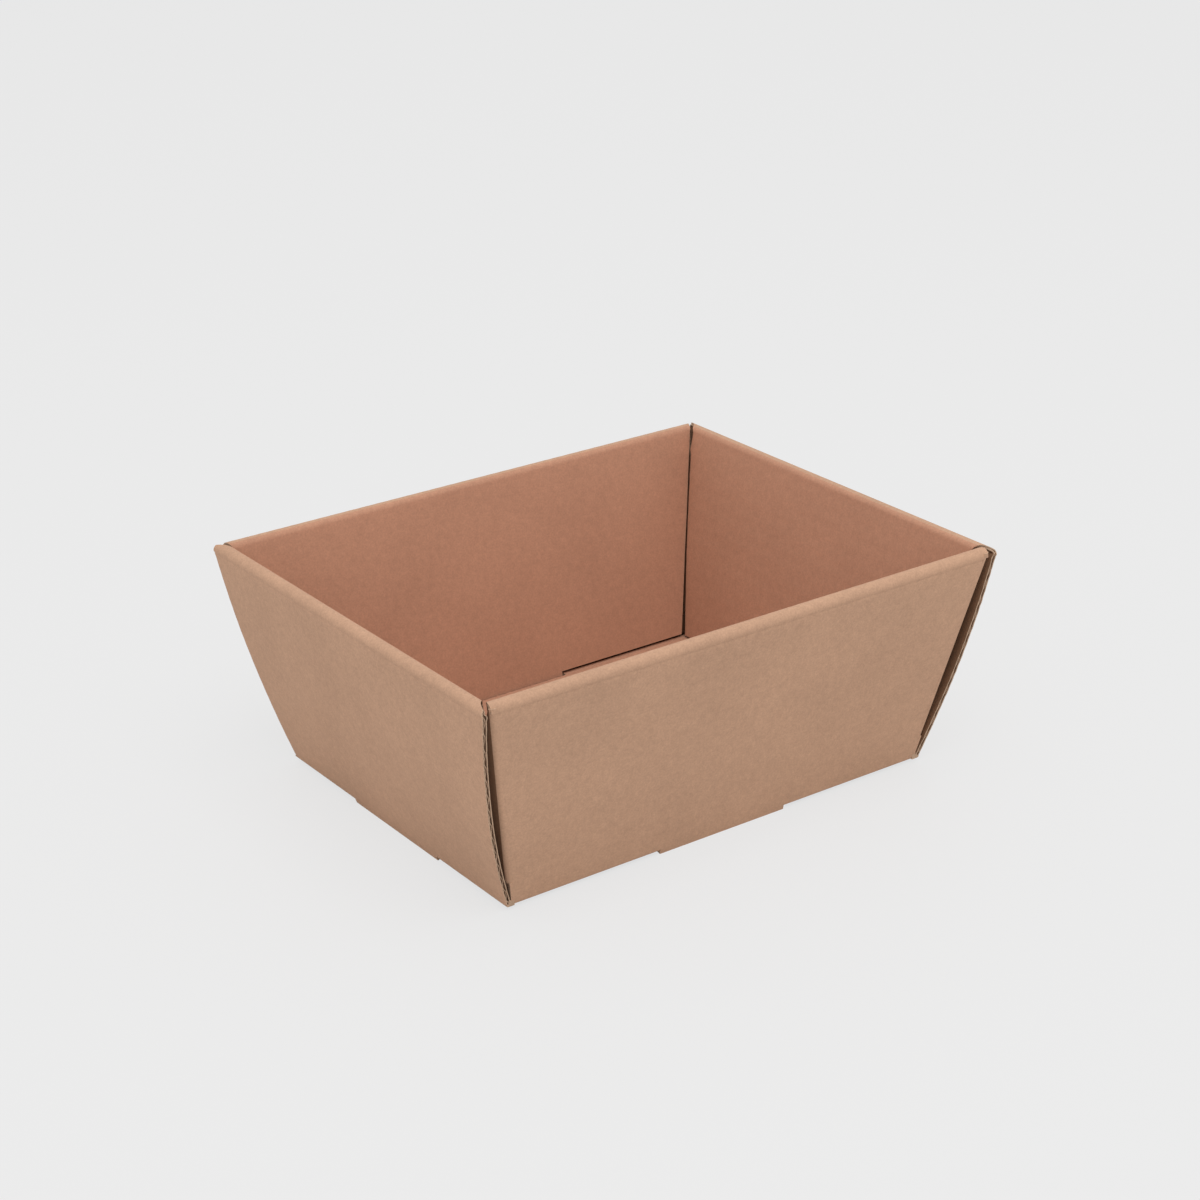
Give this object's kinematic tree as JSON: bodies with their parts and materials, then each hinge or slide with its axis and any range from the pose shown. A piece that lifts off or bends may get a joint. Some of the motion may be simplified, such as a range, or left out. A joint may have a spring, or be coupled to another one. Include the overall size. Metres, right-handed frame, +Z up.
{
  "type": "cardboard tray box",
  "caption": "Open tray of folded brown corrugated board with outward-leaning double walls, rolled rims and locking tabs.",
  "frame": {"origin": "under the middle of the base, on the surface that the tray stands on", "axes": "+X along the long side, +Y along the short side, +Z up out of the open top"},
  "size_m": [0.2274, 0.1852, 0.0896],
  "materials": {
    "kraft_board": "matt, uncoated brown kraft"
  },
  "bodies": {
    "root": {"tray": "kraft_board"}
  },
  "joints": []
}
